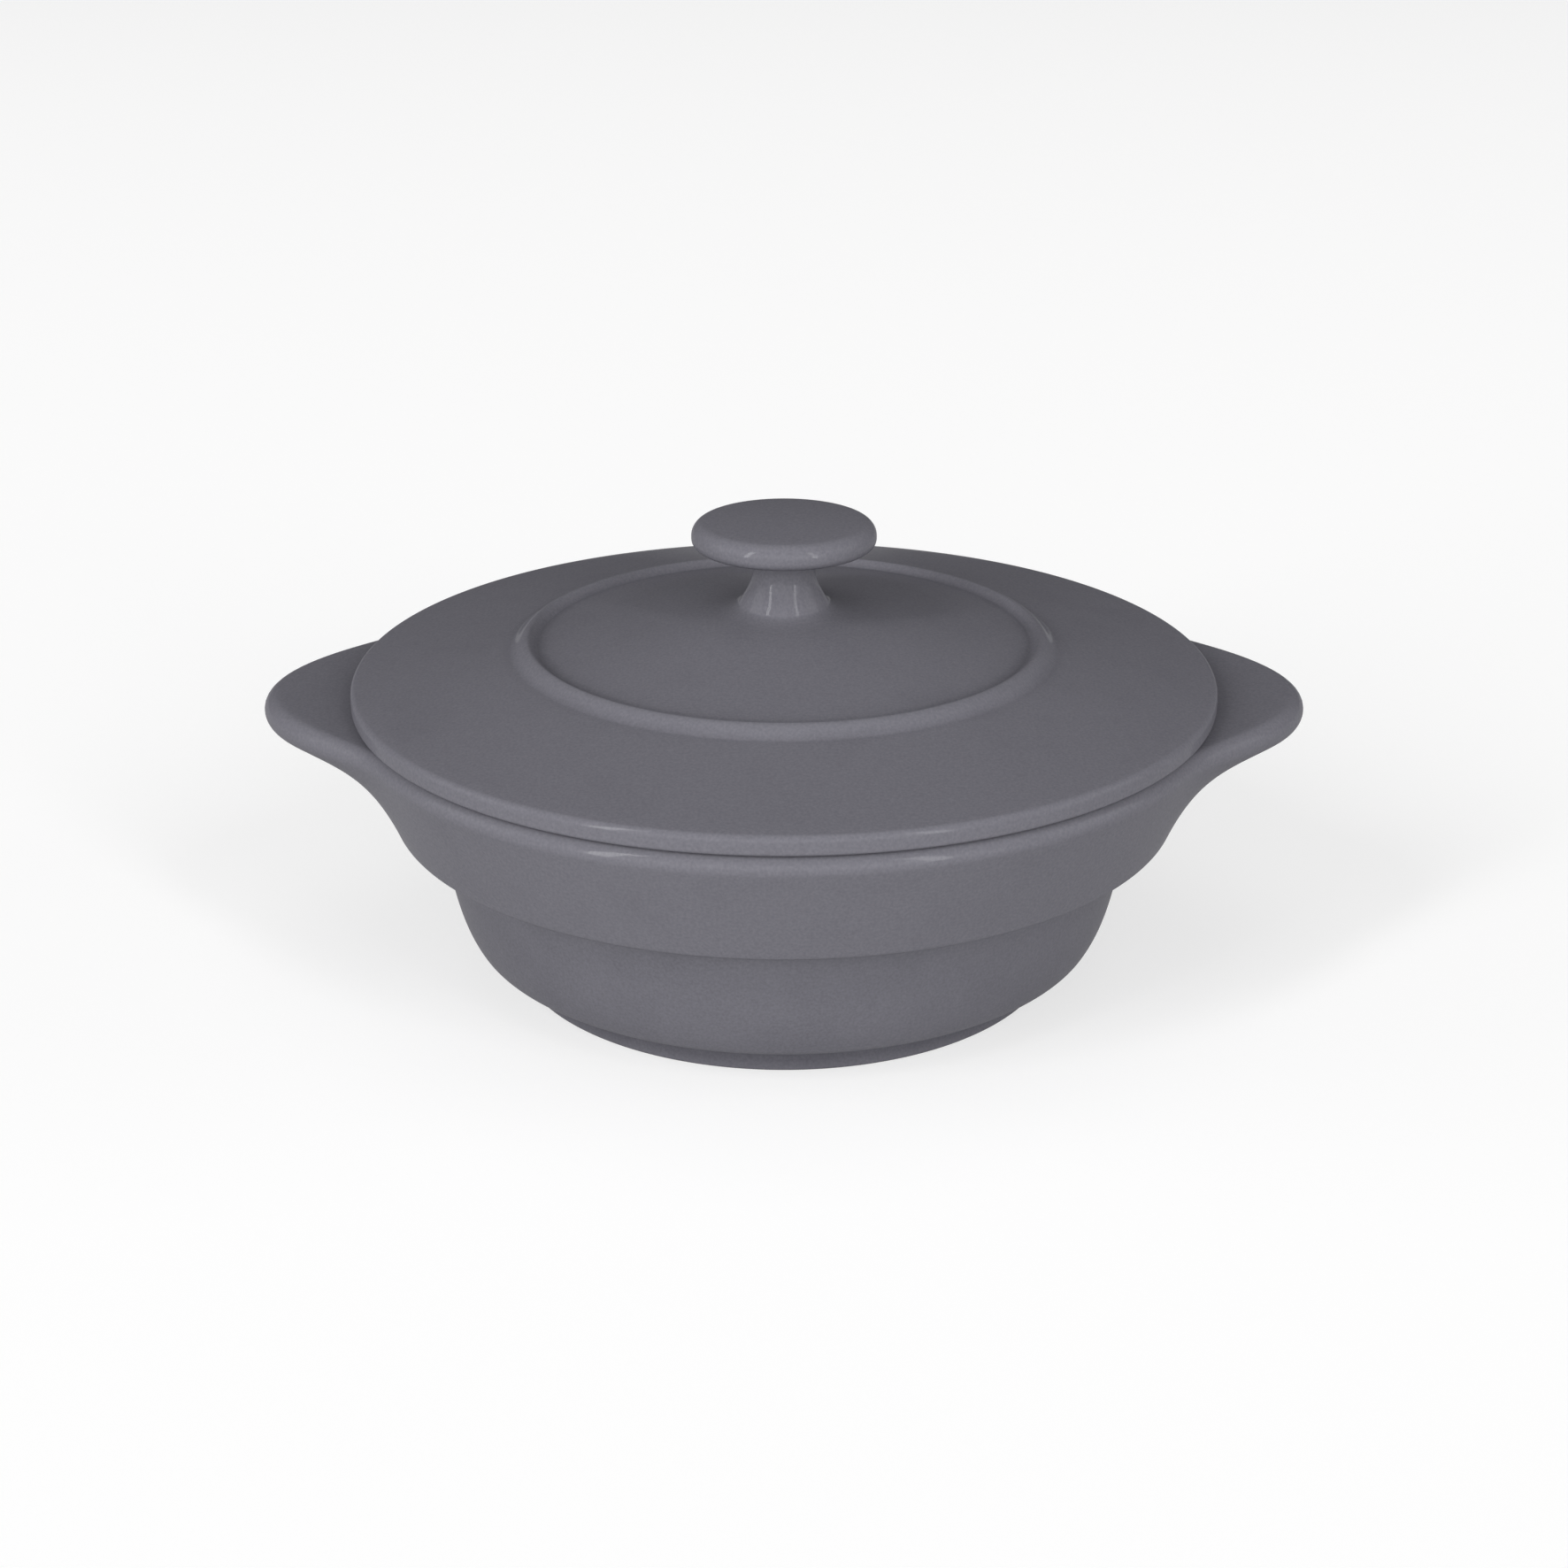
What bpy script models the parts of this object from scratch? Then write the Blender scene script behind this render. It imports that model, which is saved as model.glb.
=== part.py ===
"""Round glazed porcelain cocotte: a stepped pot with two cast-in lug handles, and a lift-off lid with a
mushroom knob. Metres, +Z up. The origin is on the table under the middle of the foot, the lugs lie along X."""
import math

import bmesh
import bpy
from mathutils import Vector

# Pot: mouth and rim
RIM_RADIUS = 0.1006
RIM_HEIGHT = 0.0668
RIM_WALL = 0.0070
EDGE_RADIUS = 0.0038
LIP_RADIUS = 0.0020

# Pot: lug handles, as a swelling of the upper wall
LUG_REACH = 0.0205
LUG_HALF_ANGLE = math.radians(30.0)
LUG_TILT = math.radians(15.5)
LUG_ROOT_PULL = 0.58
LUG_TIP_PULL = 0.24

# Pot: step between the upper wall and the lower bowl
STEP_RADIUS = 0.0914
STEP_HEIGHT = 0.0400
STEP_EDGE = 0.0015
STEP_FILLET = 0.0015

# Pot: lower bowl and foot ring
BOWL_RADIUS = 0.0818
BOWL_DRAFT = math.radians(11.7)
BOWL_PULL = 0.0100
KNEE_PULL = 0.0080
KNEE_LEAN = math.radians(31.5)
KNEE_RADIUS = 0.0035
BOWL_BASE_RADIUS = 0.0716
FOOT_HEIGHT = 0.0084
FOOT_RADIUS = 0.0632
FOOT_WIDTH = 0.0060
FOOT_EDGE = 0.0009
FOOT_FILLET = 0.0016
RECESS_HEIGHT = 0.0080

# Pot: inside
POT_WALL = 0.0055
FLOOR_THICKNESS = 0.0053
FLOOR_RADIUS = 0.0640
FLOOR_FILLET = 0.0080
LEDGE_FILLET = 0.0040
LEDGE_EDGE = 0.0030

# Lid
SEAT_GAP = 0.0003
LID_INSET = 0.0006
LID_EDGE_RADIUS = 0.0016
LID_EDGE_FACE = 0.0021
LID_EDGE_LOW = 0.0008
LID_SLOPE = math.radians(9.6)
LID_WALL = 0.0050
LID_PLAY = 0.0012
SKIRT_DEPTH = 0.0068
SKIRT_WALL = 0.0042
SKIRT_EDGE = 0.0012
SKIRT_FILLET = 0.0030
BEAD_RADIUS = 0.0594
BEAD_HEIGHT = 0.0021
BEAD_INSIDE = 0.0027
BEAD_OUTSIDE = 0.0042
BOSS_RADIUS = 0.0155
BOSS_HEIGHT = 0.0013
BOSS_TOP_PULL = 0.0006
BOSS_FOOT_PULL = 0.0026

# Knob
KNOB_RADIUS = 0.0212
KNOB_THICKNESS = 0.0055
KNOB_CROWN = 0.0006
KNOB_TOP_ROUND = 0.0036
KNOB_LOW_ROUND = 0.0018
STEM_HEIGHT = 0.0144
STEM_FOOT_RADIUS = 0.0106
STEM_FOOT_EDGE = 0.0003
STEM_NECK_RADIUS = 0.0071
STEM_NECK_FILLET = 0.0030
STEM_NECK_PULL = 0.0065
STEM_FLARE = 0.0050
STEM_FLARE_ANGLE = math.radians(26.0)

# Facets round the axis
LUG_STEPS = 20
PLAIN_STEPS = 16
LID_STEPS = 64
KNOB_STEPS = 40


def clear_scene():
    for old in list(bpy.data.objects):
        bpy.data.objects.remove(old, do_unlink=True)


def linear(code):
    """Linear colour from an sRGB hex code."""
    values = [int(code[i:i + 2], 16) / 255 for i in (0, 2, 4)]
    return [v / 12.92 if v <= 0.04045 else ((v + 0.055) / 1.055) ** 2.4 for v in values] + [1.0]


def glaze(name, code, roughness):
    material = bpy.data.materials.new(name)
    material.use_nodes = True
    shader = material.node_tree.nodes["Principled BSDF"]
    shader.inputs["Base Color"].default_value = linear(code)
    shader.inputs["Roughness"].default_value = roughness
    shader.inputs["Metallic"].default_value = 0.0
    material.diffuse_color = linear(code)
    return material


def rounded(corners, steps):
    """Outline through corners (r, z, radius); each inner corner that has a radius becomes an arc."""
    outline = []
    for i, (r, z, radius) in enumerate(corners):
        here = Vector((r, z))
        if radius == 0 or i in (0, len(corners) - 1):
            outline.append(here)
            continue
        back = (Vector(corners[i - 1][:2]) - here).normalized()
        ahead = (Vector(corners[i + 1][:2]) - here).normalized()
        half = back.angle(ahead) / 2
        centre = here + (back + ahead).normalized() * (radius / math.sin(half))
        first = here + back * (radius / math.tan(half)) - centre
        last = here + ahead * (radius / math.tan(half)) - centre
        outline += [centre + first.slerp(last, k / steps).normalized() * radius for k in range(steps + 1)]
    return outline


def curve(start, start_pull, end_pull, end, steps):
    """Smooth curve from start to end; the pulls are its end tangents. The start point is left out."""
    near = start + start_pull
    far = end - end_pull
    points = []
    for k in range(1, steps + 1):
        t = k / steps
        s = 1 - t
        points.append(s ** 3 * start + 3 * s * s * t * near + 3 * s * t * t * far + t ** 3 * end)
    return points


def heading(angle):
    return Vector((math.cos(angle), math.sin(angle)))


# Slope of the pot's upper wall, which the lid's skirt follows
WALL_ANGLE = math.atan2(RIM_HEIGHT - EDGE_RADIUS - STEP_HEIGHT, RIM_RADIUS - STEP_RADIUS)
MOUTH_RADIUS = RIM_RADIUS - RIM_WALL


def mouth_radius(z):
    """Inside radius of the pot's upper wall at height z."""
    return MOUTH_RADIUS - (RIM_HEIGHT - LIP_RADIUS - z) / math.tan(WALL_ANGLE)


def pot_foot():
    """Recessed underside and foot ring, up to the underside of the bowl."""
    foot_inner = FOOT_RADIUS - FOOT_WIDTH
    return rounded([
        (0.0, RECESS_HEIGHT, 0),
        (foot_inner, RECESS_HEIGHT, FOOT_FILLET),
        (foot_inner, 0.0, FOOT_EDGE),
        (FOOT_RADIUS, 0.0, FOOT_EDGE),
        (FOOT_RADIUS, FOOT_HEIGHT, FOOT_FILLET),
        (BOWL_BASE_RADIUS, FOOT_HEIGHT, 0),
    ], 2)


def bowl_side(top_radius, top_height, base_radius, base_height, knee, steps):
    """Knee and side of the lower bowl, from its level base up to the step."""
    centre = Vector((base_radius, base_height + knee))
    last = math.pi / 2 - KNEE_LEAN
    arc = [centre + heading(last * k / 3 - math.pi / 2) * knee for k in range(1, 4)]
    lean = heading(last) * KNEE_PULL
    draft = heading(math.pi / 2 - BOWL_DRAFT) * BOWL_PULL
    return arc + curve(arc[-1], lean, draft, Vector((top_radius, top_height)), steps)


def pot_step():
    """Underside of the step and its rounded outer corner, turning into the upper wall."""
    upper = Vector((STEP_RADIUS, STEP_HEIGHT)) + heading(WALL_ANGLE) * RIM_HEIGHT
    corners = rounded([
        (BOWL_RADIUS, STEP_HEIGHT - STEP_FILLET, 0),
        (BOWL_RADIUS, STEP_HEIGHT, STEP_FILLET * 0.98),
        (STEP_RADIUS, STEP_HEIGHT, STEP_EDGE),
        (upper.x, upper.y, 0),
    ], 2)
    return corners[2:-1]


def lug_share(angle):
    """1 in the middle of a lug, falling smoothly to 0 where the lug dies into the round rim."""
    off = abs(math.remainder(angle, math.pi))
    if off >= LUG_HALF_ANGLE:
        return 0.0
    return math.cos(math.pi / 2 * off / LUG_HALF_ANGLE) ** 2


def upper_wall(start, share):
    """Upper wall and rounded outer edge; the share bends it out into a lug with a hollowed underside."""
    reach = RIM_RADIUS + LUG_REACH * share
    tilt = WALL_ANGLE + (LUG_TILT - WALL_ANGLE) * share
    centre = Vector((reach - EDGE_RADIUS, RIM_HEIGHT - EDGE_RADIUS))
    turn = tilt - math.pi / 2
    tip = centre + heading(turn) * EDGE_RADIUS
    span = (tip - start).length
    side = curve(start, heading(WALL_ANGLE) * LUG_ROOT_PULL * span, heading(tilt) * LUG_TIP_PULL * span, tip, 6)
    steps = 6
    edge = [centre + heading(turn + (math.pi / 2 - turn) * k / steps) * EDGE_RADIUS for k in range(1, steps + 1)]
    return side + edge


def pot_inside():
    """Rounded lip, inside of the upper wall, inner ledge, lower bowl and floor."""
    ledge_height = STEP_HEIGHT + POT_WALL
    bowl_top = BOWL_RADIUS - POT_WALL
    floor = RECESS_HEIGHT + FLOOR_THICKNESS
    upper = rounded([
        (RIM_RADIUS, RIM_HEIGHT, 0),
        (mouth_radius(RIM_HEIGHT), RIM_HEIGHT, LIP_RADIUS),
        (mouth_radius(ledge_height), ledge_height, LEDGE_FILLET),
        (bowl_top, ledge_height, LEDGE_EDGE),
        (bowl_top - math.tan(BOWL_DRAFT) * LEDGE_EDGE * 2, ledge_height - LEDGE_EDGE * 2, 0),
    ], 3)
    foot_of_edge = upper[-2]
    lower = bowl_side(foot_of_edge.x, foot_of_edge.y, FLOOR_RADIUS, floor, FLOOR_FILLET, 4)
    lower.reverse()
    return upper[1:-1] + lower[1:] + [Vector((FLOOR_RADIUS, floor)), Vector((0.0, floor))]


def pot_section(angle):
    """Half section of the pot at an angle, from the middle of its underside to the middle of its floor."""
    foot = pot_foot()
    bowl = bowl_side(BOWL_RADIUS, STEP_HEIGHT - STEP_FILLET, BOWL_BASE_RADIUS, FOOT_HEIGHT, KNEE_RADIUS, 5)
    step = pot_step()
    return foot + bowl + step + upper_wall(step[-1], lug_share(angle)) + pot_inside()


def pot_angles():
    """Stations round the pot, closer together across the lugs than on the plain wall."""
    lug = [LUG_HALF_ANGLE * (2 * k / LUG_STEPS - 1) for k in range(LUG_STEPS)]
    plain_span = math.pi - 2 * LUG_HALF_ANGLE
    plain = [LUG_HALF_ANGLE + plain_span * k / PLAIN_STEPS for k in range(PLAIN_STEPS)]
    half = lug + plain
    return half + [angle + math.pi for angle in half]


def loft_pot():
    """Rings through matching points of every section, skinned one to the next, with flat ends."""
    angles = pot_angles()
    sections = [pot_section(angle) for angle in angles]
    mesh = bmesh.new()
    rings = []
    for level in range(1, len(sections[0]) - 1):
        ring = []
        for angle, section in zip(angles, sections):
            point = section[level]
            ring.append(mesh.verts.new((point.x * math.cos(angle), point.x * math.sin(angle), point.y)))
        rings.append(ring)
    for lower, upper in zip(rings, rings[1:]):
        for k in range(len(lower)):
            mesh.faces.new((lower[k - 1], lower[k], upper[k], upper[k - 1]))
    for end in (rings[0], rings[-1]):
        mesh.faces.new(end)
    bmesh.ops.recalc_face_normals(mesh, faces=mesh.faces)
    return mesh


def turn(outline, steps):
    """Solid of revolution about Z from a half section that starts and ends on the axis."""
    mesh = bmesh.new()
    points = [mesh.verts.new((p.x, 0.0, p.y)) for p in outline]
    edges = [mesh.edges.new(pair) for pair in zip(points, points[1:])]
    bmesh.ops.spin(mesh, geom=points + edges, cent=(0, 0, 0), axis=(0, 0, 1), angle=2 * math.pi,
                   steps=steps, use_merge=True)
    bmesh.ops.remove_doubles(mesh, verts=mesh.verts, dist=1e-6)
    bmesh.ops.recalc_face_normals(mesh, faces=mesh.faces)
    return mesh


# The lid is drawn from its seat: height 0 is the flat that rests on the rim
LID_RADIUS = RIM_RADIUS - LID_INSET
LID_SHOULDER = Vector((LID_RADIUS - LID_EDGE_RADIUS, LID_EDGE_LOW + LID_EDGE_FACE))
LID_HEEL = Vector((LID_RADIUS - LID_EDGE_LOW, LID_EDGE_LOW))
LID_BREAK = LID_SHOULDER + heading(math.pi / 2 - LID_SLOPE) * LID_EDGE_RADIUS


def lid_cone(r):
    """Height of the lid's plain conical top at radius r."""
    return LID_BREAK.y + (LID_BREAK.x - r) * math.tan(LID_SLOPE)


def lid_top(r):
    """Height of the lid's top at radius r, with the raised ring."""
    run = BEAD_INSIDE if r < BEAD_RADIUS else BEAD_OUTSIDE
    off = abs(r - BEAD_RADIUS) / run
    bead = BEAD_HEIGHT * math.cos(math.pi / 2 * off) ** 2 if off < 1 else 0.0
    return lid_cone(r) + bead


CROWN_HEIGHT = lid_cone(BOSS_RADIUS) + BOSS_HEIGHT


def lid_section():
    """Half section of the lid, from the middle of its top round the edge to the middle of its underside."""
    boss = Vector((STEM_FOOT_RADIUS, CROWN_HEIGHT))
    outline = [Vector((0.0, CROWN_HEIGHT)), boss]
    outline += curve(boss, heading(STEM_FLARE_ANGLE - math.pi / 2) * BOSS_TOP_PULL,
                     heading(-LID_SLOPE) * BOSS_FOOT_PULL, Vector((BOSS_RADIUS, lid_cone(BOSS_RADIUS))), 3)
    for k in range(5):
        r = BEAD_RADIUS - BEAD_INSIDE * (1 - k / 5)
        outline.append(Vector((r, lid_top(r))))
    for k in range(6):
        r = BEAD_RADIUS + BEAD_OUTSIDE * k / 5
        outline.append(Vector((r, lid_top(r))))
    first = math.pi / 2 - LID_SLOPE
    outline += [LID_SHOULDER + heading(first * (1 - k / 3)) * LID_EDGE_RADIUS for k in range(4)]
    outline += [LID_HEEL + heading(-math.pi / 2 * k / 2) * LID_EDGE_LOW for k in range(3)]
    seat = RIM_HEIGHT + SEAT_GAP
    skirt_top = mouth_radius(RIM_HEIGHT - LIP_RADIUS) - LID_PLAY
    skirt_low = mouth_radius(seat - SKIRT_DEPTH) - LID_PLAY
    under = LID_WALL / math.cos(LID_SLOPE)
    inner = skirt_top - SKIRT_WALL
    outline += rounded([
        (LID_HEEL.x, 0.0, 0),
        (skirt_top, 0.0, SKIRT_EDGE),
        (skirt_low, -SKIRT_DEPTH, SKIRT_EDGE),
        (skirt_low - SKIRT_WALL, -SKIRT_DEPTH, SKIRT_EDGE),
        (inner, lid_cone(inner) - under, SKIRT_FILLET),
        (STEM_FOOT_RADIUS, lid_cone(STEM_FOOT_RADIUS) - under, 0),
    ], 2)[1:]
    outline.append(Vector((0.0, lid_cone(STEM_FOOT_RADIUS) - under)))
    return outline


def knob_section():
    """Half section of the knob, from the middle of its top down the flared stem to its foot."""
    under = STEM_HEIGHT
    top = STEM_HEIGHT + KNOB_THICKNESS
    outline = [Vector((0.0, top + KNOB_CROWN))]
    top_round = min(KNOB_TOP_ROUND, KNOB_THICKNESS - KNOB_LOW_ROUND)
    flat = KNOB_RADIUS - top_round
    outline += [Vector((flat * k / 3, top + KNOB_CROWN * (1 - (k / 3) ** 2))) for k in (1, 2)]
    outline += rounded([
        (0.0, top, 0),
        (KNOB_RADIUS, top, top_round),
        (KNOB_RADIUS, under, KNOB_LOW_ROUND),
        (STEM_NECK_RADIUS, under, STEM_NECK_FILLET),
        (STEM_NECK_RADIUS, under / 2, 0),
    ], 4)[1:-1]
    neck = outline[-1]
    foot = Vector((STEM_FOOT_RADIUS, STEM_FOOT_EDGE))
    flare = heading(STEM_FLARE_ANGLE - math.pi / 2) * STEM_FLARE
    outline += curve(neck, Vector((0.0, -STEM_NECK_PULL)), flare, foot, 6)
    outline += [Vector((STEM_FOOT_RADIUS - STEM_FOOT_EDGE, 0.0)), Vector((0.0, 0.0))]
    return outline


def add_piece(name, mesh, material):
    data = bpy.data.meshes.new(name)
    mesh.to_mesh(data)
    mesh.free()
    data.materials.append(material)
    data.shade_smooth()
    data.set_sharp_from_angle(angle=math.radians(40))
    piece = bpy.data.objects.new(name, data)
    bpy.context.scene.collection.objects.link(piece)
    return piece


clear_scene()
add_piece("pot", loft_pot(), glaze("pot_glaze", "6d6c73", 0.22))
lid = add_piece("lid", turn(lid_section(), LID_STEPS), glaze("lid_glaze", "6b6a71", 0.20))
lid.location = (0.0, 0.0, RIM_HEIGHT + SEAT_GAP)
knob = add_piece("lid_knob", turn(knob_section(), KNOB_STEPS), glaze("knob_glaze", "6d6c73", 0.20))
knob.parent = lid
knob.location = (0.0, 0.0, CROWN_HEIGHT + SEAT_GAP)
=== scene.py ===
import math

import bmesh
import bpy
import numpy as np
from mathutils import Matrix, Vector


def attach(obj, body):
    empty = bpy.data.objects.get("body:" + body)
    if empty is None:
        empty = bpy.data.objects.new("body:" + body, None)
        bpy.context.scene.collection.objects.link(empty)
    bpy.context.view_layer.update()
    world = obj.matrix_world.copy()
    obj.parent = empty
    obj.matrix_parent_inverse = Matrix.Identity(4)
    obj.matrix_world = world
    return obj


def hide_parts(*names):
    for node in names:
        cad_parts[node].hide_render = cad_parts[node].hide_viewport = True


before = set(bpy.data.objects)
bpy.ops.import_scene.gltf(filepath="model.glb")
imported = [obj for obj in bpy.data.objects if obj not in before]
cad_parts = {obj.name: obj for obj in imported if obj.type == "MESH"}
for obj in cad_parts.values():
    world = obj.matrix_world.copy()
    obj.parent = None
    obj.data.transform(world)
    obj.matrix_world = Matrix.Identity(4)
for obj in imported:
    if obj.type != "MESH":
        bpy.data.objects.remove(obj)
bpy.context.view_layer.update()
scene = bpy.context.scene
scene.view_settings.view_transform = "Standard"


# Pot: one slip casting of white porcelain, with its foot ring, bowl, step, upper wall and both lug handles.
# It is dipped in grey glaze inside and out. Only the sole of the foot ring is wiped bare, so that it does not
# stick to the kiln shelf.
MM = 0.001

rim_radius = 100.6 * MM
rim_height = 66.8 * MM
rim_wall = 7.0 * MM
rim_edge = 2.9 * MM
lug_edge = 3.8 * MM
lip_radius = 2.0 * MM

lug_reach = 20.5 * MM
lug_half_angle = math.radians(30.0)
lug_tilt = math.radians(15.5)
lug_root_pull = 0.58
lug_tip_pull = 0.24

step_radius = 91.4 * MM
step_height = 40.0 * MM
step_edge = 1.5 * MM
step_fillet = 1.5 * MM

bowl_radius = 81.8 * MM
bowl_draft = math.radians(11.7)
bowl_pull = 10.0 * MM
knee_pull = 8.0 * MM
knee_lean = math.radians(31.5)
knee_radius = 3.5 * MM
bowl_base_radius = 71.6 * MM

foot_height = 8.4 * MM
foot_radius = 64.4 * MM
foot_width = 7.2 * MM
foot_edge = 0.7 * MM
foot_fillet = 1.6 * MM
bare_sole = 0.06 * MM
recess_height = 8.0 * MM

pot_wall = 5.5 * MM
floor_thickness = 5.3 * MM
floor_radius = 64.0 * MM
floor_fillet = 8.0 * MM
ledge_fillet = 4.0 * MM
ledge_edge = 3.0 * MM

pot_sections = 288
wall_angle = math.atan2(rim_height - lug_edge - step_height, rim_radius - step_radius)


def toward(angle):
    """Unit direction in a section, from level and outward at 0 to straight up at a right angle."""
    return Vector((math.cos(angle), math.sin(angle)))


def soften(corners, steps):
    """Section through corners (radius, height, rounding), with an arc at each inner corner that has one."""
    section = []
    for i, (radius, height, rounding) in enumerate(corners):
        corner = Vector((radius, height))
        if rounding == 0 or i in (0, len(corners) - 1):
            section.append(corner)
            continue
        back = (Vector(corners[i - 1][:2]) - corner).normalized()
        ahead = (Vector(corners[i + 1][:2]) - corner).normalized()
        half = back.angle(ahead) / 2
        centre = corner + (back + ahead).normalized() * (rounding / math.sin(half))
        first = corner + back * (rounding / math.tan(half)) - centre
        last = corner + ahead * (rounding / math.tan(half)) - centre
        section += [centre + first.slerp(last, k / steps).normalized() * rounding for k in range(steps + 1)]
    return section


def sweep(start, start_pull, end_pull, end, steps):
    """Smooth curve from start to end, leaving and arriving along the pulls. The start itself is left out."""
    near, far = start + start_pull, end - end_pull
    section = []
    for k in range(1, steps + 1):
        t = k / steps
        s = 1 - t
        section.append(s ** 3 * start + 3 * s * s * t * near + 3 * s * t * t * far + t ** 3 * end)
    return section


def fill_in(section, spacing=2.5 * MM):
    """The same section with more points on its long straight runs."""
    filled = [section[0]]
    for start, end in zip(section, section[1:]):
        parts = max(1, math.ceil((end - start).length / spacing))
        filled += [start.lerp(end, k / parts) for k in range(1, parts + 1)]
    return filled


def mouth_radius(height):
    """Inside radius of the pot's upper wall."""
    return rim_radius - rim_wall - (rim_height - lip_radius - height) / math.tan(wall_angle)


def bowl_side(top, base, knee, steps):
    """Knee and side of the lower bowl, from its level base up to the step."""
    lean = math.pi / 2 - knee_lean
    turn = [base + Vector((0, knee)) + toward(lean * k / 14 - math.pi / 2) * knee for k in range(1, 15)]
    rise = toward(math.pi / 2 - bowl_draft)
    return turn + sweep(turn[-1], toward(lean) * knee_pull, rise * bowl_pull, top, steps)


def lug_swell(angle):
    """1 in the middle of a lug, falling smoothly to 0 where the lug dies into the round rim."""
    off = abs(math.remainder(angle, math.pi))
    return math.cos(math.pi / 2 * off / lug_half_angle) ** 2 if off < lug_half_angle else 0.0


def pot_section(angle):
    """Half section of the pot, from the middle of its underside over the rim to the middle of its floor."""
    foot_inner = foot_radius - foot_width
    foot = soften([
        (0, recess_height, 0),
        (foot_inner, recess_height, foot_fillet),
        (foot_inner, 0, foot_edge),
        (foot_radius, 0, foot_edge),
        (foot_radius, foot_height, foot_fillet),
        (bowl_base_radius, foot_height, 0),
    ], 6)
    bowl_top = Vector((bowl_radius, step_height - step_fillet))
    bowl = bowl_side(bowl_top, Vector((bowl_base_radius, foot_height)), knee_radius, 24)
    # The fillet under the step is a hair smaller than its room, so that no two points fall together.
    above = Vector((step_radius, step_height)) + toward(wall_angle) * rim_height
    step = soften([
        (bowl_top.x, bowl_top.y, 0),
        (bowl_radius, step_height, step_fillet * 0.98),
        (step_radius, step_height, step_edge),
        (above.x, above.y, 0),
    ], 6)[2:-1]

    swell = lug_swell(angle)
    tilt = wall_angle + (lug_tilt - wall_angle) * swell
    rounding = rim_edge + (lug_edge - rim_edge) * swell
    edge_centre = Vector((rim_radius + lug_reach * swell - rounding, rim_height - rounding))
    under = tilt - math.pi / 2
    tip = edge_centre + toward(under) * rounding
    span = (tip - step[-1]).length
    root_pull, tip_pull = lug_root_pull * span, lug_tip_pull * span
    wall = sweep(step[-1], toward(wall_angle) * root_pull, toward(tilt) * tip_pull, tip, 26)
    edge = [edge_centre + toward(under + (math.pi / 2 - under) * k / 14) * rounding for k in range(1, 15)]

    ledge_height = step_height + pot_wall
    ledge_radius = bowl_radius - pot_wall
    floor_height = recess_height + floor_thickness
    floor_edge = Vector((floor_radius, floor_height))
    upper = soften([
        (rim_radius, rim_height, 0),
        (mouth_radius(rim_height), rim_height, lip_radius),
        (mouth_radius(ledge_height), ledge_height, ledge_fillet),
        (ledge_radius, ledge_height, ledge_edge),
        (ledge_radius - math.tan(bowl_draft) * ledge_edge * 2, ledge_height - ledge_edge * 2, 0),
    ], 10)[1:-1]
    lower = bowl_side(upper[-1], floor_edge, floor_fillet, 20)[-2::-1]
    top = [edge[-1].lerp(upper[0], k / 10) for k in range(1, 10)]
    inside = upper + lower + [floor_edge, Vector((0, floor_height))]
    return fill_in(foot + bowl + step + wall + edge) + top + fill_in(inside)


def glaze_lay_and_shade(section):
    """Each point of a section with how dark its glaze is drawn: below 0 where the glaze draws thin over an
    edge, above 0 where it pools in a hollow, which also paints shade into the creases. Surface tension evens
    this out over a couple of millimetres before the glaze sets. On top lies painted shade, darker on the lower
    bowl and darkest round the foot."""
    flow = 1.4 * MM
    sharp_radius = 0.9 * MM
    # Painted shade: the glaze is drawn darker below the step, and darkest round the foot under the bowl's
    # overhang.
    shade_heights = np.array((6.5, 8.8, 28, 41)) * MM
    shade_depths = (0.9, 0.3, 0.3, 0)
    points = np.array([(p.x, p.y) for p in section])
    runs = np.diff(points, axis=0)
    along = np.concatenate([[0], np.cumsum(np.hypot(*runs.T))])
    bearing = np.unwrap(np.arctan2(runs[:, 1], runs[:, 0]))
    turning = np.concatenate([[0], np.diff(bearing), [0]])
    reach = np.exp(-((along[:, None] - along[None, :]) / flow) ** 2) / (flow * math.sqrt(math.pi))
    lay_and_shade = np.tanh(-(reach @ turning) * sharp_radius) + np.interp(points[:, 1], shade_heights, shade_depths)
    return [(p.x, p.y, float(v)) for p, v in zip(section, lay_and_shade)]


def round_angles(count):
    """Even angles round the axis."""
    return [2 * math.pi * k / count for k in range(count)]


def skin(name, angles, sections):
    """Closed skin through the section at each angle round the axis. Sections start and end on the axis."""
    mesh = bmesh.new()
    lay_and_shade = mesh.verts.layers.float.new("glaze_lay_and_shade")
    rings = []
    for points in list(zip(*sections))[1:-1]:
        ring = []
        for angle, (radius, height, thickness_and_shade) in zip(angles, points):
            vert = mesh.verts.new((radius * math.cos(angle), radius * math.sin(angle), height))
            vert[lay_and_shade] = thickness_and_shade
            ring.append(vert)
        rings.append(ring)
    for lower, upper in zip(rings, rings[1:]):
        for k in range(len(angles)):
            mesh.faces.new((lower[k - 1], lower[k], upper[k], upper[k - 1]))
    for ring, (radius, height, thickness_and_shade) in ((rings[0], sections[0][0]), (rings[-1], sections[0][-1])):
        middle = mesh.verts.new((0, 0, height))
        middle[lay_and_shade] = thickness_and_shade
        for k in range(len(angles)):
            mesh.faces.new((ring[k - 1], ring[k], middle))
    bmesh.ops.recalc_face_normals(mesh, faces=mesh.faces)
    data = bpy.data.meshes.new(name)
    mesh.to_mesh(data)
    mesh.free()
    data.shade_smooth()
    piece = bpy.data.objects.new(name, data)
    scene.collection.objects.link(piece)
    return piece


def linear(code):
    """Linear colour from an sRGB hex code."""
    values = [int(code[i:i + 2], 16) / 255 for i in (0, 2, 4)]
    return [v / 12.92 if v <= 0.04045 else ((v + 0.055) / 1.055) ** 2.4 for v in values] + [1.0]


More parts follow.
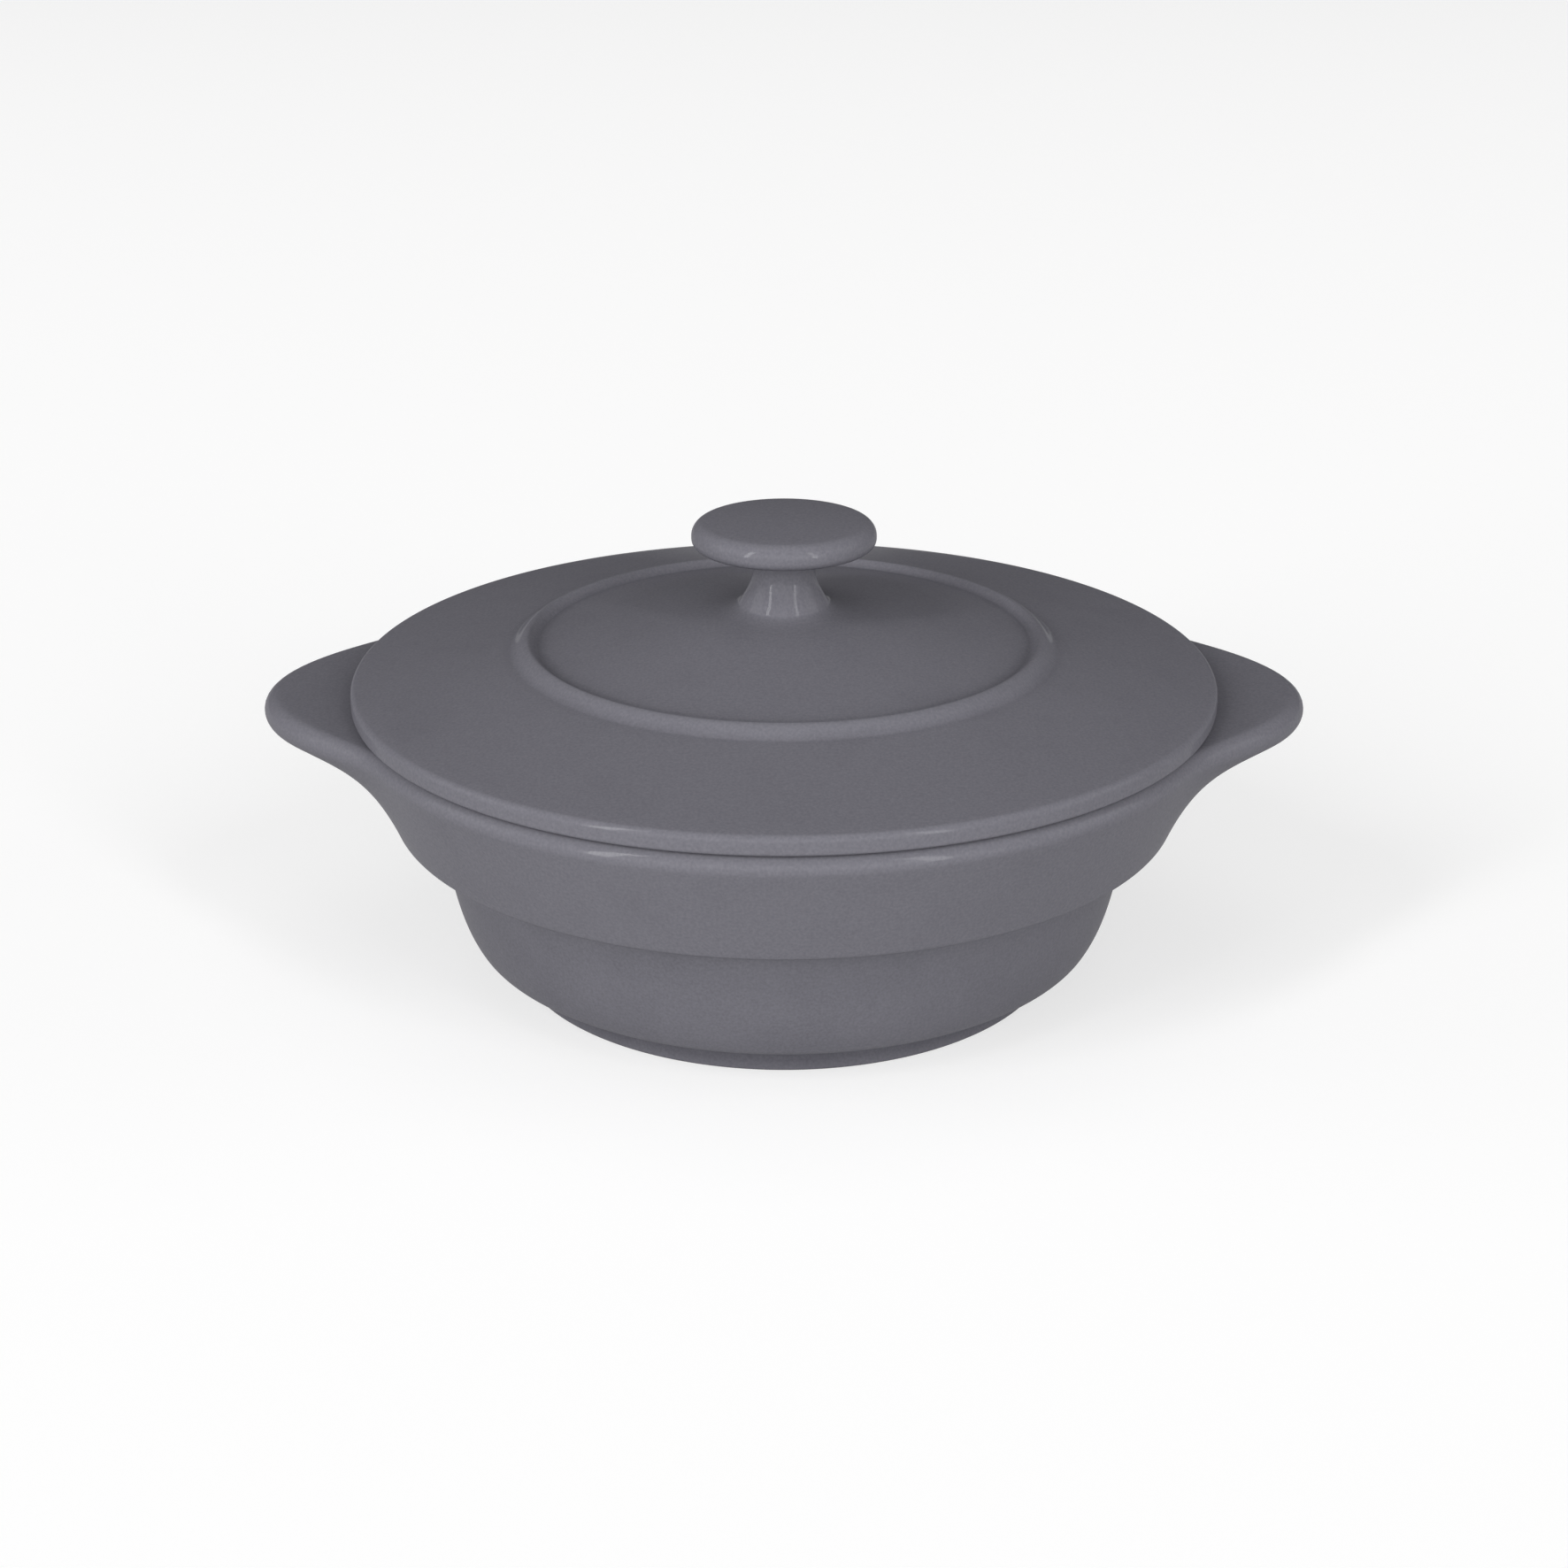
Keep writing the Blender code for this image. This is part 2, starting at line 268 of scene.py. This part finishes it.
def add_node(tree, kind, settings, links):
    """Adds a node. Settings name its sockets or its properties, and links its sockets or their numbers."""
    node = tree.nodes.new(kind)
    for name, value in settings.items():
        if name in node.inputs:
            node.inputs[name].default_value = value
        else:
            setattr(node, name, value)
    for socket, source in links.items():
        tree.links.new(source, node.inputs[socket])
    return node


def grey_glaze(name, bare_below):
    """Grey tinted feldspar glaze, dipped over white porcelain. To the eye: an even cool grey with faint
    clouds and bubble specks, a shade paler where the glaze thins over edges and darker where it pools. The
    same dark colour also paints shade into creases, on the lower bowl and round the foot. Its clear skin is
    weak, so highlights are narrow and sharp, slightly broken by orange peel, and the rest looks satin. Below
    the height bare_below the white body is left dry and matt."""
    # The dark pooled colour stands for pooled glaze, and also for painted shade in creases, on the lower bowl
    # and round the foot.
    even, thin, pooled_and_shade, body = linear("6c6b72"), linear("6d6c73"), linear("55545b"), linear("dcd7cd")
    satin_smooth, satin_dull, body_dull = 0.42, 0.52, 0.8
    cloud_size = 16 * MM
    cloud_depth = 0.06
    speck_size = 0.6 * MM  # real bubbles are about 0.1 mm, drawn this coarse so that they show
    speck_depth = 0.09
    peel_size = 2.6 * MM
    peel_height = 0.006 * MM
    wipe_size = 5 * MM
    wipe_wander = 0.06 * MM
    wipe_edge = 0.03 * MM
    low, high = 0.25, 0.75  # most of a noise lies between these
    material = bpy.data.materials.new(name)
    material.use_nodes = True
    tree = material.node_tree
    place = add_node(tree, "ShaderNodeTexCoord", {}, {}).outputs["Object"]

    # This attribute holds where the glaze thins and pools, with painted shade added in.
    lay_and_shade = add_node(tree, "ShaderNodeAttribute", {"attribute_name": "glaze_lay_and_shade"}, {}).outputs["Fac"]
    cloud = add_node(tree, "ShaderNodeTexNoise", {"Scale": 1 / cloud_size, "Detail": 3.0, "Roughness": 0.55},
                     {"Vector": place}).outputs["Fac"]
    lie_and_shade = add_node(tree, "ShaderNodeMapRange", {"From Min": -1.0, "From Max": 1.0},
                   {"Value": lay_and_shade}).outputs["Result"]
    drift = add_node(tree, "ShaderNodeMapRange",
                     {"From Min": low, "From Max": high, "To Min": -cloud_depth, "To Max": cloud_depth},
                     {"Value": cloud}).outputs["Result"]
    depth_and_shade = add_node(tree, "ShaderNodeMath", {"operation": "ADD"}, {0: lie_and_shade, 1: drift}).outputs[0]
    tint = add_node(tree, "ShaderNodeValToRGB", {}, {"Fac": depth_and_shade})
    stops = tint.color_ramp.elements
    stops[0].color = thin
    stops[1].color = pooled_and_shade
    stops.new(0.5).color = even

    speck = add_node(tree, "ShaderNodeTexNoise", {"Scale": 1 / speck_size, "Detail": 1.0},
                     {"Vector": place}).outputs["Fac"]
    fleck = add_node(tree, "ShaderNodeMapRange",
                     {"From Min": low, "From Max": high, "To Min": 1 - speck_depth, "To Max": 1 + speck_depth},
                     {"Value": speck}).outputs["Result"]
    flecked = add_node(tree, "ShaderNodeVectorMath", {"operation": "SCALE"},
                       {0: tint.outputs["Color"], "Scale": fleck}).outputs[0]

    height = add_node(tree, "ShaderNodeSeparateXYZ", {}, {0: place}).outputs["Z"]
    wander = add_node(tree, "ShaderNodeTexNoise", {"Scale": 1 / wipe_size, "Detail": 2.0},
                      {"Vector": place}).outputs["Fac"]
    wiped = add_node(tree, "ShaderNodeMath", {"operation": "MULTIPLY_ADD"}, {0: wander, 2: height})
    wiped.inputs[1].default_value = wipe_wander
    bare = add_node(tree, "ShaderNodeMapRange",
                    {"From Min": bare_below, "From Max": bare_below + wipe_edge,
                     "To Min": 1.0, "To Max": 0.0},
                    {"Value": wiped.outputs[0]}).outputs["Result"]
    colour = add_node(tree, "ShaderNodeMix", {"data_type": "RGBA"}, {0: bare, 6: flecked})
    colour.inputs[7].default_value = body

    satin = add_node(tree, "ShaderNodeMapRange",
                     {"From Min": low, "From Max": high, "To Min": satin_smooth, "To Max": satin_dull},
                     {"Value": cloud}).outputs["Result"]
    rough = add_node(tree, "ShaderNodeMix", {"data_type": "FLOAT"}, {0: bare, 2: satin})
    rough.inputs[3].default_value = body_dull

    peel = add_node(tree, "ShaderNodeTexNoise", {"Scale": 1 / peel_size, "Detail": 1.5}, {"Vector": place})
    relief = add_node(tree, "ShaderNodeBump", {"Distance": peel_height, "Strength": 1.0},
                      {"Height": peel.outputs["Fac"]})

    # The coat is the glaze's clear skin. Fine crystals in it dull a full gloss to about a seventh.
    shader = tree.nodes["Principled BSDF"]
    shader.inputs["IOR"].default_value = 1.5
    shader.inputs["Specular IOR Level"].default_value = 0.0
    shader.inputs["Coat Weight"].default_value = 0.15
    shader.inputs["Coat IOR"].default_value = 1.5
    shader.inputs["Coat Roughness"].default_value = 0.05
    tree.links.new(colour.outputs[2], shader.inputs["Base Color"])
    tree.links.new(rough.outputs[0], shader.inputs["Roughness"])
    tree.links.new(relief.outputs["Normal"], shader.inputs["Normal"])
    tree.links.new(relief.outputs["Normal"], shader.inputs["Coat Normal"])
    return material


pot_angles = round_angles(pot_sections)
pot = skin("glazed_pot", pot_angles, [glaze_lay_and_shade(pot_section(angle)) for angle in pot_angles])
pot.data.materials.append(grey_glaze("pot_grey_glaze", bare_sole))
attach(pot, "pot")
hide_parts("pot")


# Lid: a second slip casting, a low cone with a raised ring round it and a rounded edge. Under the edge a flat
# rests on the pot's rim, and a skirt hangs into the mouth to keep the lid centred. It is glazed all over,
# except for the rim of the skirt, which it stands on in the kiln.
seat_gap = 0.3 * MM
lid_inset = 0.6 * MM
lid_edge_radius = 1.6 * MM
lid_edge_face = 2.1 * MM
lid_edge_low = 0.8 * MM
lid_slope = math.radians(9.6)
lid_wall = 5.0 * MM
lid_play = 1.2 * MM
skirt_depth = 6.8 * MM
skirt_wall = 4.2 * MM
skirt_edge = 1.2 * MM
skirt_fillet = 3.0 * MM
bare_skirt = 0.2 * MM
ring_radius = 59.4 * MM
ring_height = 2.1 * MM
ring_inside = 2.7 * MM
ring_outside = 4.2 * MM
stem_foot_radius = 10.6 * MM
lid_sections = 240

seat = rim_height + seat_gap
lid_radius = rim_radius - lid_inset
lid_shoulder = Vector((lid_radius - lid_edge_radius, seat + lid_edge_low + lid_edge_face))
lid_heel = Vector((lid_radius - lid_edge_low, seat + lid_edge_low))
lid_break = lid_shoulder + toward(math.pi / 2 - lid_slope) * lid_edge_radius


def lid_cone(radius):
    """Height of the lid's plain conical top."""
    return lid_break.y + (lid_break.x - radius) * math.tan(lid_slope)


def lid_section():
    """Half section of the lid, from the middle of its underside round the edge to the middle of its top."""
    crown = lid_cone(stem_foot_radius)
    under = lid_wall / math.cos(lid_slope)
    skirt_top = mouth_radius(rim_height - lip_radius) - lid_play
    skirt_low = mouth_radius(seat - skirt_depth) - lid_play
    inner = skirt_top - skirt_wall
    below = soften([
        (stem_foot_radius, crown - under, 0),
        (inner, lid_cone(inner) - under, skirt_fillet),
        (skirt_low - skirt_wall, seat - skirt_depth, skirt_edge),
        (skirt_low, seat - skirt_depth, skirt_edge),
        (skirt_top, seat, skirt_edge),
        (lid_heel.x, seat, 0),
    ], 8)
    edge = [lid_heel + toward(math.pi / 2 * (k / 8 - 1)) * lid_edge_low for k in range(1, 9)]
    edge += [lid_shoulder + toward((math.pi / 2 - lid_slope) * k / 14) * lid_edge_radius for k in range(15)]
    ring = []
    for k in range(16, -17, -1):
        off = k / 16
        radius = ring_radius + off * (ring_outside if off > 0 else ring_inside)
        ring.append(Vector((radius, lid_cone(radius) + ring_height * math.cos(math.pi / 2 * off) ** 2)))
    top = [Vector((stem_foot_radius, crown)), Vector((0, crown))]
    return fill_in([Vector((0, crown - under))] + below + edge + ring + top)


lid = skin("glazed_lid", round_angles(lid_sections), [glaze_lay_and_shade(lid_section())] * lid_sections)
lid.data.materials.append(grey_glaze("lid_grey_glaze", seat - skirt_depth + bare_skirt))
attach(lid, "lid")
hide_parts("lid")


# Knob: a porcelain mushroom, cast by itself, with a flat round cap on a flared stem. It is stuck to the lid
# with slip before glazing, so the glaze runs over the joint and leaves a small soft fillet round the foot of
# the stem.
cap_radius = 21.2 * MM
cap_thickness = 5.8 * MM
cap_crown = 0.8 * MM
cap_brow = 3.3 * MM
cap_low_round = 2.0 * MM
stem_height = 13.9 * MM
stem_neck_radius = 7.1 * MM
stem_neck_fillet = 3.0 * MM
stem_neck_pull = 6.5 * MM
stem_flare = 5.0 * MM
stem_flare_angle = math.radians(26.0)
joint_radius = 15.5 * MM
joint_height = 1.3 * MM
joint_rise = 0.5 * MM
joint_top_pull = 0.7 * MM
joint_foot_pull = 2.8 * MM
joint_skirt = 2.5 * MM
joint_sunk = 0.06 * MM
joint_reach = 4 * MM
knob_sections = 160


def knob_section():
    """Half section of the knob, from the middle of its foot up the stem to the middle of its cap."""
    base = lid_cone(joint_radius) + joint_height
    under = base + seat_gap + stem_height
    top = under + cap_thickness
    cap = soften([
        (stem_neck_radius, under - stem_height / 2, 0),
        (stem_neck_radius, under, stem_neck_fillet),
        (cap_radius, under, cap_low_round),
        (cap_radius, top, 0),
    ], 14)[1:-1]
    brow = Vector((cap_radius - cap_brow, top - cap_brow))
    slope = math.atan2(2 * cap_crown, brow.x)
    crown = [brow + toward((math.pi / 2 - slope) * k / 16) * cap_brow for k in range(17)]
    flat = crown[-1]
    for k in range(11, -1, -1):
        crown.append(Vector((flat.x * k / 12, flat.y + cap_crown * (1 - (k / 12) ** 2))))
    rise = toward(math.pi / 2 + stem_flare_angle)
    foot = Vector((stem_foot_radius, base))
    stem = sweep(foot, rise * stem_flare, Vector((0, stem_neck_pull)), cap[0], 48)
    stem = [point for point in stem if point.y > base + joint_rise]
    lean = (stem[1] - stem[0]).normalized()
    spread = Vector((joint_radius, lid_cone(joint_radius)))
    along = toward(math.pi - lid_slope)
    joint = sweep(spread, along * joint_foot_pull, lean * joint_top_pull, stem[0], 20)[:-1]
    hidden = Vector((joint_radius + joint_skirt, lid_cone(joint_radius + joint_skirt) - joint_sunk))
    return fill_in([Vector((0, hidden.y)), hidden, spread] + joint + stem + cap[1:] + crown)


# The slip of the joint is sponged smooth, so the glaze doesn't pool there, and no pooled colour or painted
# shade darkens its crease.
joint_top = lid_cone(joint_radius) + joint_reach
knob_points = [(r, z, min(lay_and_shade, 0.0) if z < joint_top else lay_and_shade) for r, z, lay_and_shade in glaze_lay_and_shade(knob_section())]
knob = skin("glazed_knob", round_angles(knob_sections), [knob_points] * knob_sections)
knob.data.materials.append(grey_glaze("knob_grey_glaze", 0.0))
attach(knob, "lid")
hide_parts("lid_knob")


# Table: a sheet of matt white paper on a wide studio table. It takes the pot's soft shadow, and shows as
# white paper both to the camera and in the glaze. A few metres out it fades into the dim room.
table_half = 12.0
table_drop = 0.1 * MM
glow_near = 2.3
glow_far = 3.6
paper_glow = 0.59

quarters = ((-1, -1), (1, -1), (1, 1), (-1, 1))
table_corners = [(x * table_half, y * table_half, -table_drop) for x, y in quarters]
table_mesh = bpy.data.meshes.new("table_paper")
table_mesh.from_pydata(table_corners, [], [(0, 1, 2, 3)])
table = bpy.data.objects.new("table_paper", table_mesh)
scene.collection.objects.link(table)
paper = bpy.data.materials.new("matt_white_paper")
paper.use_nodes = True
tree = paper.node_tree
tree.nodes.remove(tree.nodes["Principled BSDF"])
ray = add_node(tree, "ShaderNodeLightPath", {}, {}).outputs
seen = add_node(tree, "ShaderNodeMath", {"operation": "MAXIMUM"},
                {0: ray["Is Camera Ray"], 1: ray["Is Glossy Ray"]})
seen = add_node(tree, "ShaderNodeMath", {"operation": "MAXIMUM"},
                {0: seen.outputs[0], 1: ray["Is Transmission Ray"]})
place = add_node(tree, "ShaderNodeTexCoord", {}, {}).outputs["Object"]
away = add_node(tree, "ShaderNodeVectorMath", {"operation": "LENGTH"}, {0: place}).outputs["Value"]
fade = add_node(tree, "ShaderNodeMapRange",
                {"interpolation_type": "SMOOTHSTEP", "From Min": glow_near, "From Max": glow_far,
                 "To Min": paper_glow, "To Max": 0.0},
                {"Value": away}).outputs["Result"]
glow = add_node(tree, "ShaderNodeMath", {"operation": "MULTIPLY"}, {0: seen.outputs[0], 1: fade})
white = add_node(tree, "ShaderNodeEmission", {"Color": linear("ffffff")}, {"Strength": glow.outputs[0]})
matt = add_node(tree, "ShaderNodeBsdfDiffuse", {"Color": linear("b8b8b8")}, {})
both = add_node(tree, "ShaderNodeAddShader", {}, {0: matt.outputs[0], 1: white.outputs[0]})
tree.links.new(both.outputs[0], tree.nodes["Material Output"].inputs["Surface"])
table_mesh.materials.append(paper)


# Light: two tall strip softboxes stand in front, one to each side of the camera, and draw the narrow
# highlights. A long white screen behind the camera, two side walls and the ceiling give the even light of a
# pale studio. All of them stand well back, so that the paper is lit evenly.
box_distance = 10.0
room_light = 0.13


def softbox(name, bearing, height, wide, tall, brightness):
    """Softbox, or a lit wall, facing the lid. Bearing from the camera's side, height over the table, width
    and length, as they look from the pot, are in degrees. Brightness 1 is as bright as lit white paper."""
    side, up = math.radians(bearing), math.radians(height)
    out = Vector((math.sin(side) * math.cos(up), -math.cos(side) * math.cos(up), math.sin(up)))
    lamp = bpy.data.lights.new(name, "AREA")
    lamp.shape = "RECTANGLE"
    lamp.size = 2 * box_distance * math.tan(math.radians(wide / 2))
    lamp.size_y = 2 * box_distance * math.tan(math.radians(tall / 2))
    lamp.energy = brightness * math.pi * lamp.size * lamp.size_y
    stand = bpy.data.objects.new(name, lamp)
    stand.location = Vector((0, 0, seat)) + out * box_distance
    stand.rotation_euler = out.to_track_quat("Z", "Y").to_euler()
    scene.collection.objects.link(stand)


softbox("strip_left", -46.0, 26.0, 7.0, 46.0, 15.5)
softbox("strip_right", 38.0, 26.0, 7.0, 46.0, 10.4)
softbox("white_screen", 0.0, 17.0, 110.0, 32.0, 2.15)
softbox("wall_left", -86.0, 18.0, 30.0, 30.0, 2.0)
softbox("wall_right", 86.0, 18.0, 30.0, 30.0, 1.7)
softbox("ceiling", 0.0, 88.0, 40.0, 40.0, 0.6)

room = bpy.data.worlds.new("dim_room")
room.use_nodes = True
air = room.node_tree.nodes["Background"]
air.inputs["Color"].default_value = linear("ffffff")
air.inputs["Strength"].default_value = room_light
scene.world = room


# Camera: a normal to long lens at arm's length. It stands a little above the lid and square to the lugs, and
# is tilted down to the pot.
camera_back = 582.9 * MM
camera_height = 279.8 * MM
camera_tilt = math.radians(22.18)

lens = bpy.data.cameras.new("camera")
lens.lens = 60.95
lens.sensor_width = 36.0
lens.clip_start = 0.02
camera = bpy.data.objects.new("camera", lens)
camera.location = (0.0, -camera_back, camera_height)
camera.rotation_euler = (math.pi / 2 - camera_tilt, 0.0, 0.0)
scene.collection.objects.link(camera)
scene.camera = camera
